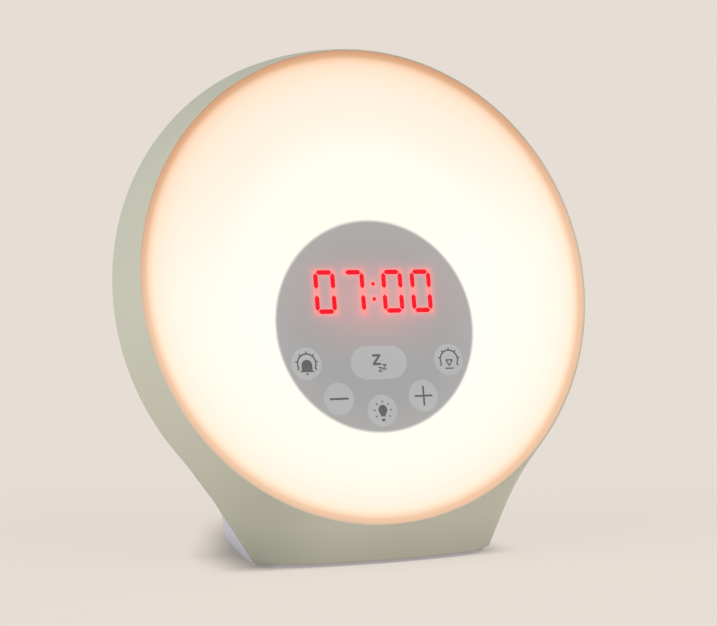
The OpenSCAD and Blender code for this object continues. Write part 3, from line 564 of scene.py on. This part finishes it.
# painted shade on the housing from the foot upwards, at shares of this height: darker towards the foot, and
# darker and a little warmer near the top; and more painted shade at the left end of the foot, which is the
# dullest
housingShade = dict(
    height=0.2,
    tones=[(0.0, (0.665, 0.665, 0.645)), (0.08, (0.82, 0.82, 0.81)), (0.30, (0.91, 0.91, 0.91)),
           (0.5, (1, 1, 1)), (0.75, (0.98, 0.98, 0.96)), (0.95, (0.91, 0.895, 0.85))],
    leftEnd=(-0.02, -0.05), footEnd=(0.045, 0), cornerDark=0.22)
finishes = dict(
    housing_green=mouldedPlastic("sageHousing", linear(210, 212, 196), linear(207, 209, 192), 0.25,
                                 housingShade),
    cover_grey=mouldedPlastic("lavenderCover", linear(201, 205, 221), linear(197, 201, 218), 0.5),
    plinth_grey=mouldedPlastic("bluegreyPlinth", linear(186, 184, 188), linear(180, 178, 183), 0.5),
    rubber_dark=softRubber("darkRubber", linear(52, 52, 54), linear(70, 70, 72)),
    diffuser_opal=opalDiffuser("opalDiffuser"),
    reflector_white=smoothMoulding("whiteReflector", linear(240, 240, 236), linear(232, 232, 228)),
    shroud_grey=smoothMoulding("greyShroud", linear(216, 216, 214), linear(206, 206, 205)),
    display_black=smoothMoulding("displayBlack", linear(42, 39, 41), linear(34, 32, 34), roughness=0.25),
    segment_red=litStroke("litRed"),
    board_green=circuitBoard("circuitGreen", linear(40, 100, 66), linear(34, 88, 58)),
    part_black=smoothMoulding("mouldedBlack", linear(42, 42, 45), linear(34, 34, 36), roughness=0.4),
    button_grey=buttonCap("buttonGrey"),
    led_board_white=circuitBoard("lightBoardWhite", linear(232, 232, 228), linear(224, 224, 220)),
    led_yellow=smoothMoulding("lampPhosphor", linear(250, 228, 150), linear(244, 216, 130)),
    cell_steel=brushedMetal("cellSteel", linear(200, 201, 204), linear(186, 187, 190)),
    speaker_steel=brushedMetal("speakerSteel", linear(130, 132, 136), linear(112, 114, 118)),
    cone_black=paperCone("blackCone", linear(38, 38, 40), linear(28, 28, 30)),
    gasket_grey=softRubber("greyGasket", linear(90, 90, 92), linear(78, 78, 80)),
    screw_steel=brushedMetal("screwSteel", linear(160, 162, 165), linear(140, 142, 146)),
    cable_white=flatCable("whiteCable", linear(210, 210, 206), linear(190, 190, 186)),
    wire_red=smoothMoulding("redWire", linear(165, 55, 55), linear(150, 45, 45)),
    wire_black=smoothMoulding("blackWire", linear(56, 56, 58), linear(46, 46, 48)))
slotOf = {entry["node"]: entry["material_slot"] for entry in frame["record"]["subparts"]}
for node, piece in nodes.items():
    paintWith(piece, finishes[slotOf[node]])
print("materials made:", len(finishes))


# the front housing: the round ring and its lip, the seat and hole for the lens, the neck that narrows
# to the foot, the arched apron under the lens, and how finely it is drawn
shell = dict(ringRadius=0.0925, ringDepth=0.019, wall=0.0022, plateTop=0.0018,
             lipRadius=0.088, softEdge=0.00015, flareBow=0.3,
             seatRadius=0.0876, seatDepth=0.0022, holeRadius=0.0836, ledgeDepth=0.0047,
             footHalf=0.047, neckSlope=math.radians(60), neckBlend=0.165,
             apronDrop=0.1145, apronRadius=0.125, cornerSoft=0.006,
             around=288, along=22, alongInside=4, bevel=0.00025, bevelAngle=38, smoothAngle=40)


def outlineValues():
    # how far the neck's straight line and the centre of the blend above it lie from the middle of the face,
    # and the angles from straight down at which the blend meets the ring and the line
    lean = face["lean"]
    floorUp = (shell["plateTop"] - face["height"] + shell["ringDepth"] * math.sin(lean)) / math.cos(lean)
    neck = shell["footHalf"] * math.sin(shell["neckSlope"]) - floorUp * math.cos(shell["neckSlope"])
    reach = shell["ringRadius"] + shell["neckBlend"]
    swing = math.acos((neck + shell["neckBlend"]) / reach)
    blend = shell["neckSlope"] - swing
    line = shell["neckSlope"] - math.atan(reach * math.sin(swing) / neck)
    return neck, reach, blend, line


neckReach, blendReach, blendAngle, lineAngle = outlineValues()


def outlineReach(angle):
    # from the middle of the face to the joint of the two halves, at an angle from straight down
    swing = abs(angle)
    if swing > blendAngle:
        side = shell["ringRadius"]
    elif swing > lineAngle:
        off = swing - blendAngle
        hollow = math.sqrt(shell["neckBlend"] ** 2 - (blendReach * math.sin(off)) ** 2)
        side = blendReach * math.cos(off) - hollow
    else:
        side = neckReach / math.cos(shell["neckSlope"] - swing)
    rise = shell["apronRadius"] - shell["apronDrop"]
    apron = math.sqrt(shell["apronRadius"] ** 2 - (rise * math.sin(angle)) ** 2) - rise * math.cos(angle)
    soft = max(shell["cornerSoft"] - abs(side - apron), 0)
    return min(side, apron) - soft * soft / (4 * shell["cornerSoft"])


def shellPoint(angle, depth, inset=0):
    # a point of the housing's outside, or of its inside where inset is the wall
    share = depth / shell["ringDepth"]
    flare = share * (1 + shell["flareBow"] * (1 - share))
    radius = shell["lipRadius"] + (outlineReach(angle) - shell["lipRadius"]) * flare - inset
    return Vector((radius * math.sin(angle), -radius * math.cos(angle), -depth))


def extrudeRing(piece, place):
    # pulls a new ring out of the selected one and puts each of its points where place says for its angle
    bpy.ops.mesh.extrude_region_move()
    objectMode()
    for vertex in piece.data.vertices:
        if vertex.select:
            vertex.co = place(math.atan2(vertex.co.x, -vertex.co.y))
    bpy.ops.object.mode_set(mode="EDIT")


def roundAt(radius, depth):
    return lambda angle: Vector((radius * math.sin(angle), -radius * math.cos(angle), -depth))


def softCorner(piece, radius, edge):
    # turns the selected ring from the front to the side round a small corner
    for step in range(cornerSteps + 1):
        turn = math.radians(90 * step / cornerSteps)
        extrudeRing(piece, roundAt(radius - edge + edge * math.sin(turn), edge - edge * math.cos(turn)))


def frontShell():
    deselectAll()
    bpy.ops.mesh.primitive_circle_add(vertices=shell["around"], radius=shell["holeRadius"],
                                      location=(0, 0, -shell["ledgeDepth"]))
    piece = newest("frontShell")
    applyPlace(piece)
    editAll(piece)
    for radius, depth in ((shell["holeRadius"], shell["seatDepth"]),
                          (shell["seatRadius"], shell["seatDepth"]),
                          (shell["seatRadius"], 0)):
        extrudeRing(piece, roundAt(radius, depth))
    edge, ringDepth, ledgeDepth = shell["softEdge"], shell["ringDepth"], shell["ledgeDepth"]
    softCorner(piece, shell["lipRadius"], edge)
    for step in range(1, shell["along"] + 1):
        depth = edge + (ringDepth - edge) * step / shell["along"]
        extrudeRing(piece, lambda angle: shellPoint(angle, depth))
    for step in range(shell["alongInside"] + 1):
        depth = ringDepth + (ledgeDepth - ringDepth) * step / shell["alongInside"]
        extrudeRing(piece, lambda angle: shellPoint(angle, depth, shell["wall"]))
    extrudeRing(piece, roundAt(shell["holeRadius"], shell["ledgeDepth"]))
    objectMode()
    mergeDoubles(piece)
    leanBack(piece)
    # what is below the base plate's top goes
    editAll(piece)
    bpy.ops.mesh.bisect(plane_co=(0, 0, shell["plateTop"]), plane_no=(0, 0, 1),
                        use_fill=True, clear_inner=True)
    objectMode()
    applyModifier(piece, "BEVEL", width=shell["bevel"], segments=2, limit_method="ANGLE",
                  angle_limit=math.radians(shell["bevelAngle"]))
    smoothByAngle(piece, shell["smoothAngle"])
    paintWith(piece, finishes["housing_green"])
    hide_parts("front_housing")
    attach(piece, "clock")


frontShell()
print("front housing done")


# the rear cover keeps the CAD form
cover = dict(smoothAngle=28)


def rearShell():
    piece = copyOfNode("rear_cover", "rearShell")
    smoothByAngle(piece, cover["smoothAngle"])
    paintWith(piece, finishes["cover_grey"])
    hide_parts("rear_cover")
    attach(piece, "clock")


rearShell()
print("rear cover done")


# the diffuser: its face and rim, the spigot behind it, five round buttons on an arc and a long one above
lens = dict(faceRadius=0.0844, rimTop=0.0871, rimThick=0.0022, wall=0.0022, softEdge=0.00015,
            spigotRadius=0.0834, spigotWall=0.0018, spigotDepth=0.0064,
            buttonRadius=0.0059, gap=0.0002, arc=0.031, pitch=math.radians(32.5),
            snoozeDrop=0.0134, snoozeLength=0.022, snoozeWidth=0.012,
            around=240, slopeSteps=10, inset=0.004, edgeBand=0.0001, smoothAngle=35,
            roundSides=72, pillSides=64, cutterDepth=0.02)
buttonPlaces = dict()
for count, name in enumerate(("alarm", "minus", "light", "plus", "sunset")):
    turn = (count - 2) * lens["pitch"]
    buttonPlaces[name] = (lens["arc"] * math.sin(turn), -face["coreDrop"] - lens["arc"] * math.cos(turn))
buttonPlaces["snooze"] = (0, -face["coreDrop"] - lens["snoozeDrop"])


def roundCutter(radius):
    bpy.ops.mesh.primitive_cylinder_add(vertices=lens["roundSides"], radius=radius,
                                        depth=lens["cutterDepth"])
    return newest("roundCutter")


def pillCutter(length, width):
    # two round ends pulled apart
    bpy.ops.mesh.primitive_cylinder_add(vertices=lens["pillSides"], radius=width / 2,
                                        depth=lens["cutterDepth"])
    piece = newest("pillCutter")
    for vertex in piece.data.vertices:
        if abs(vertex.co.x) > mergeDistance:
            vertex.co.x += math.copysign((length - width) / 2, vertex.co.x)
    return piece


def buttonCutters():
    cutters = []
    for name, (x, y) in buttonPlaces.items():
        deselectAll()
        if name == "snooze":
            cutter = pillCutter(lens["snoozeLength"] + 2 * lens["gap"],
                                lens["snoozeWidth"] + 2 * lens["gap"])
        else:
            cutter = roundCutter(lens["buttonRadius"] + lens["gap"])
        cutter.location = (x, y, 0)
        applyPlace(cutter)
        cutters.append(cutter)
    return joinAll(cutters, "buttonCutters")


def lensPiece():
    deselectAll()
    bpy.ops.mesh.primitive_circle_add(vertices=lens["around"], radius=lens["faceRadius"],
                                      fill_type="NGON", location=(0, 0, -face["sink"]))
    piece = newest("opalLens")
    applyPlace(piece)
    editAll(piece)
    bpy.ops.mesh.inset(thickness=lens["inset"])
    bpy.ops.mesh.select_all(action="DESELECT")
    objectMode()
    for vertex in piece.data.vertices:
        vertex.select = vertex.co.xy.length > lens["faceRadius"] - lens["edgeBand"]
    bpy.ops.object.mode_set(mode="EDIT")
    # the rim sweeps up from the face and ends in a soft corner
    for step in range(1, lens["slopeSteps"] + 1):
        share = step / lens["slopeSteps"]
        ease = share * share * (3 - 2 * share)
        extrudeRing(piece, roundAt(lens["faceRadius"] + (lens["rimTop"] - lens["faceRadius"]) * share,
                                   face["sink"] * (1 - ease)))
    softCorner(piece, face["lensRadius"], lens["softEdge"])
    inner = lens["spigotRadius"] - lens["spigotWall"]
    for radius, depth in ((face["lensRadius"], lens["rimThick"]),
                          (lens["spigotRadius"], lens["rimThick"]),
                          (lens["spigotRadius"], lens["spigotDepth"]),
                          (inner, lens["spigotDepth"]),
                          (inner, face["sink"] + lens["wall"])):
        extrudeRing(piece, roundAt(radius, depth))
    bpy.ops.mesh.edge_face_add()
    objectMode()
    mergeDoubles(piece)
    cutAway(piece, buttonCutters())
    leanBack(piece)
    smoothByAngle(piece, lens["smoothAngle"])
    paintWith(piece, finishes["diffuser_opal"])
    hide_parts("diffuser")
    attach(piece, "clock")


lensPiece()
print("diffuser done")


def litDigits():
    # the strokes as they show on the face of the diffuser
    piece = copyOfNode("display_segments", "litDigits")
    shiftX, shiftY = display["shift"]
    rise = display["depth"] - face["sink"] + display["lift"]
    piece.matrix_world = faceToWorld @ Matrix.Translation((shiftX, shiftY, rise)) @ faceToWorld.inverted()
    applyPlace(piece)
    smoothByAngle(piece, display["smoothAngle"])
    paintWith(piece, finishes["segment_red"])
    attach(piece, "clock")


litDigits()
print("digits done")


# the signs lie on the tops of the caps; parts of a sign that overlap lie a hair over each other,
# so that no two faces coincide
sign = dict(top=face["capProud"] - face["sink"], thick=0.00004, layer=0.000003, discSides=48, arcSteps=34)
printInk = darkPrint("darkPrint")


def bar(x, y, length, width, turn=0):
    bpy.ops.mesh.primitive_cube_add(size=1, location=(x, y, 0))
    piece = newest("bar")
    piece.scale = (length, width, sign["thick"])
    piece.rotation_euler = (0, 0, turn)
    applyPlace(piece)
    return piece


def arcStroke(radius, start, sweep, width):
    # a short bar's end face spun round the middle
    bpy.ops.mesh.primitive_plane_add(size=1, location=(radius * math.cos(start),
                                                       radius * math.sin(start), 0))
    piece = newest("arcStroke")
    piece.scale = (width, sign["thick"], 1)
    piece.rotation_euler = (math.pi / 2, 0, start)
    applyPlace(piece)
    editAll(piece)
    bpy.ops.mesh.spin(steps=sign["arcSteps"], angle=-sweep, center=(0, 0, 0), axis=(0, 0, 1))
    objectMode()
    mergeDoubles(piece)
    return piece


def disc(y, radius, stretch=1):
    bpy.ops.mesh.primitive_cylinder_add(vertices=sign["discSides"], radius=radius, depth=sign["thick"],
                                        location=(0, y, 0))
    piece = newest("disc")
    piece.scale = (1, stretch, 1)
    applyPlace(piece)
    return piece


def wedge(corners):
    # a flat shape with the given corners: a filled circle whose points are moved
    bpy.ops.mesh.primitive_circle_add(vertices=len(corners), fill_type="NGON", location=(0, 0, 0))
    piece = newest("wedge")
    for vertex, (x, y) in zip(piece.data.vertices, corners):
        vertex.co = (x, y, -sign["thick"] / 2)
    editAll(piece)
    bpy.ops.mesh.extrude_region_move(TRANSFORM_OT_translate=dict(value=(0, 0, sign["thick"])))
    objectMode()
    mergeDoubles(piece)
    return piece


def rays(radius, start, sweep, count, length, width):
    parts = []
    for step in range(count):
        turn = start + sweep * step / (count - 1)
        middle = radius + length / 2
        parts.append(bar(middle * math.cos(turn), middle * math.sin(turn), length, width, turn))
    return parts


def placeSign(parts, button):
    for count, part in enumerate(parts):
        part.location.z = count * sign["layer"]
        applyPlace(part)
    piece = joinAll(parts, button + "Sign")
    x, y = buttonPlaces[button]
    piece.location = (x, y, sign["top"])
    applyPlace(piece)
    leanBack(piece)
    paintWith(piece, printInk)
    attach(piece, button)


minus = dict(length=0.0073, width=0.00075)
plus = dict(across=0.0071, up=0.0073, width=0.0007)


def minusSign():
    placeSign([bar(0, 0, minus["length"], minus["width"])], "minus")


def plusSign():
    placeSign([bar(0, 0, plus["across"], plus["width"]), bar(0, 0, plus["width"], plus["up"])], "plus")


# each letter Z is its middle, its height and its stroke
letters = dict(each=[(-0.0009, 0.0010, 0.0040, 0.00085), (0.0020, -0.0017, 0.0021, 0.00045),
                     (0.00035, -0.0026, 0.0018, 0.0004)], wide=0.82, slantShare=0.98)


def letterZ(x, y, height, stroke):
    width = height * letters["wide"]
    tall = height - stroke
    slant = math.atan2(tall, width - stroke)
    length = math.hypot(tall, width - stroke) * letters["slantShare"]
    return [bar(x, y + tall / 2, width, stroke), bar(x, y - tall / 2, width, stroke),
            bar(x, y, length, stroke, slant)]


def snoozeSign():
    placeSign([part for letter in letters["each"] for part in letterZ(*letter)], "snooze")


sun = dict(radius=0.0035, start=math.radians(-30), sweep=math.radians(240), stroke=0.00055,
           count=7, length=0.0009, width=0.0005)


def sunArc():
    return [arcStroke(sun["radius"], sun["start"], sun["sweep"], sun["stroke"]),
            *rays(sun["radius"], sun["start"], sun["sweep"], sun["count"], sun["length"], sun["width"])]


bell = dict(domeDrop=0.00065, domeRadius=0.00205, skirtDrop=0.00165, skirt=(0.0041, 0.0021),
            lipDrop=0.00285, lip=(0.0053, 0.0004), clapperDrop=0.00375, clapperRadius=0.00042)


def alarmSign():
    placeSign([*sunArc(),
               disc(-bell["domeDrop"], bell["domeRadius"]),
               bar(0, -bell["skirtDrop"], *bell["skirt"]),
               bar(0, -bell["lipDrop"], *bell["lip"]),
               disc(-bell["clapperDrop"], bell["clapperRadius"])], "alarm")


# a triangle that points down over a ground line
setting = dict(topDrop=0.00015, top=0.0029, sideOff=0.00068, sideDrop=0.0012, side=0.0025,
               slope=math.radians(60), stroke=0.0005, groundDrop=0.00325, ground=0.0033)


def sunsetSign():
    stroke = setting["stroke"]
    parts = [*sunArc(), bar(0, -setting["topDrop"], setting["top"], stroke)]
    for way in (-1, 1):
        parts.append(bar(way * setting["sideOff"], -setting["sideDrop"], setting["side"], stroke,
                         way * setting["slope"]))
    placeSign([*parts, bar(0, -setting["groundDrop"], setting["ground"], stroke)], "sunset")


bulb = dict(globeUp=0.00035, globeRadius=0.00175, shoulder=(0.00145, -0.0005), collar=(0.00075, -0.0021),
            capDrop=0.00335, capRadius=0.00075, capFlat=0.7,
            rayRadius=0.0029, start=math.radians(-38), sweep=math.radians(256), count=7,
            length=0.00075, width=0.00042)


def lightSign():
    (wide, high), (narrow, low) = bulb["shoulder"], bulb["collar"]
    placeSign([disc(bulb["globeUp"], bulb["globeRadius"]),
               wedge([(-wide, high), (-narrow, low), (narrow, low), (wide, high)]),
               disc(-bulb["capDrop"], bulb["capRadius"], bulb["capFlat"]),
               *rays(bulb["rayRadius"], bulb["start"], bulb["sweep"], bulb["count"],
                     bulb["length"], bulb["width"])], "light")


deselectAll()
for drawSign in (minusSign, plusSign, snoozeSign, alarmSign, sunsetSign, lightSign):
    drawSign()
print("signs done")


# the camera's lens is a focal length in picture points, turned to millimetres by its sensor's width
studio = dict(ground=linear(230, 221, 212), ambient=0.5,
              place=(-0.26154, -0.63503, 0.11839), turn=math.radians(-23.053), rise=math.radians(2.481),
              focalPoints=1800, widthPoints=717, sensor=36, clipStart=0.05)
# each soft light: its turn round from the front, its rise over the table, its power and its width;
# turns, rises and widths are degrees
softLights = dict(softKey=(-82, 20, 0.95, 60), softFill=(35, 32, 0.75, 60))
groundLight = studio["ambient"] + sum(
    power * math.sin(math.radians(rise)) / math.pi for turn, rise, power, width in softLights.values())
floor = dict(size=12, cells=8, drop=0.0001, roughness=0.9, specular=0.0, scatter=0.3,
             cloud=(1.5, 2), cloudShare=0.01, cloudDark=0.9)
# a painted shadow on the ground: the soft dark patch under and beside the foot, which narrows towards the
# back
paintedShadow = dict(halfWide=0.050, wideUntil=-0.005, taper=0.4, middle=-0.002, soft=0.013, depth=0.62,
               front=(-0.046, -0.032), back=(0.035, 0.095))


def contactShade(paint):
    x, y = paint.axes(paint.place())[:2]
    narrowed = (y - paintedShadow["wideUntil"]).math("MAXIMUM", 0) * paintedShadow["taper"]
    outside = (abs(x - paintedShadow["middle"]) + narrowed).between(
        paintedShadow["halfWide"] - paintedShadow["soft"], paintedShadow["halfWide"] + paintedShadow["soft"])
    along = y.between(*paintedShadow["front"]) * (1 - y.between(*paintedShadow["back"]))
    return (1 - outside) * along * paintedShadow["depth"]


def groundMaterial():
    paint = Paint("studioGround", Roughness=floor["roughness"], Specular_IOR_Level=floor["specular"])
    slow = paint.noise(*floor["cloud"])
    darker = scaled(studio["ground"], floor["cloudDark"])
    tone = paint.mix(slow * floor["cloudShare"], studio["ground"], darker)
    # the painted shadow darkens the ground's colour under and beside the foot
    tone = paint.mix(contactShade(paint), tone, (0, 0, 0))
    paint.lit(tone, floor["scatter"], groundLight)
    return paint.material


def groundPiece():
    deselectAll()
    bpy.ops.mesh.primitive_grid_add(x_subdivisions=floor["cells"], y_subdivisions=floor["cells"],
                                    size=floor["size"], location=(0, 0, -floor["drop"]))
    ground = newest("studioGround")
    paintWith(ground, groundMaterial())


def studioAir():
    # white air lights the clock, and the camera sees the ground's colour behind it
    world = bpy.data.worlds.new("studioAir")
    world.use_nodes = True
    tree = world.node_tree
    air = tree.nodes["Background"]
    air.inputs["Color"].default_value = (1, 1, 1, 1)
    air.inputs["Strength"].default_value = studio["ambient"]
    seen = tree.nodes.new("ShaderNodeBackground")
    seen.inputs["Color"].default_value = (*studio["ground"], 1)
    seen.inputs["Strength"].default_value = 1.0
    path = tree.nodes.new("ShaderNodeLightPath")
    mix = tree.nodes.new("ShaderNodeMixShader")
    tree.links.new(path.outputs["Is Camera Ray"], mix.inputs[0])
    tree.links.new(air.outputs[0], mix.inputs[1])
    tree.links.new(seen.outputs[0], mix.inputs[2])
    tree.links.new(mix.outputs[0], tree.nodes["World Output"].inputs["Surface"])
    bpy.context.scene.world = world


def studioLights():
    for name, (turn, rise, power, width) in softLights.items():
        bpy.ops.object.light_add(type="SUN", location=(-1, -1, 1))
        light = bpy.context.object
        light.name = name
        light.data.energy = power
        light.data.angle = math.radians(width)
        light.rotation_euler = (math.radians(90 - rise), 0, math.radians(turn))


def studioCamera():
    bpy.ops.object.camera_add(location=studio["place"])
    camera = bpy.context.object
    turn, rise = studio["turn"], studio["rise"]
    back = Vector((math.sin(turn) * math.cos(rise), -math.cos(turn) * math.cos(rise), math.sin(rise)))
    camera.rotation_euler = (-back).to_track_quat("-Z", "Y").to_euler()
    camera.data.sensor_width = studio["sensor"]
    camera.data.lens = studio["focalPoints"] * studio["sensor"] / studio["widthPoints"]
    camera.data.clip_start = studio["clipStart"]
    bpy.context.scene.camera = camera
    bpy.context.scene.view_settings.view_transform = "Standard"


groundPiece()
studioAir()
studioLights()
studioCamera()
print("studio ready")
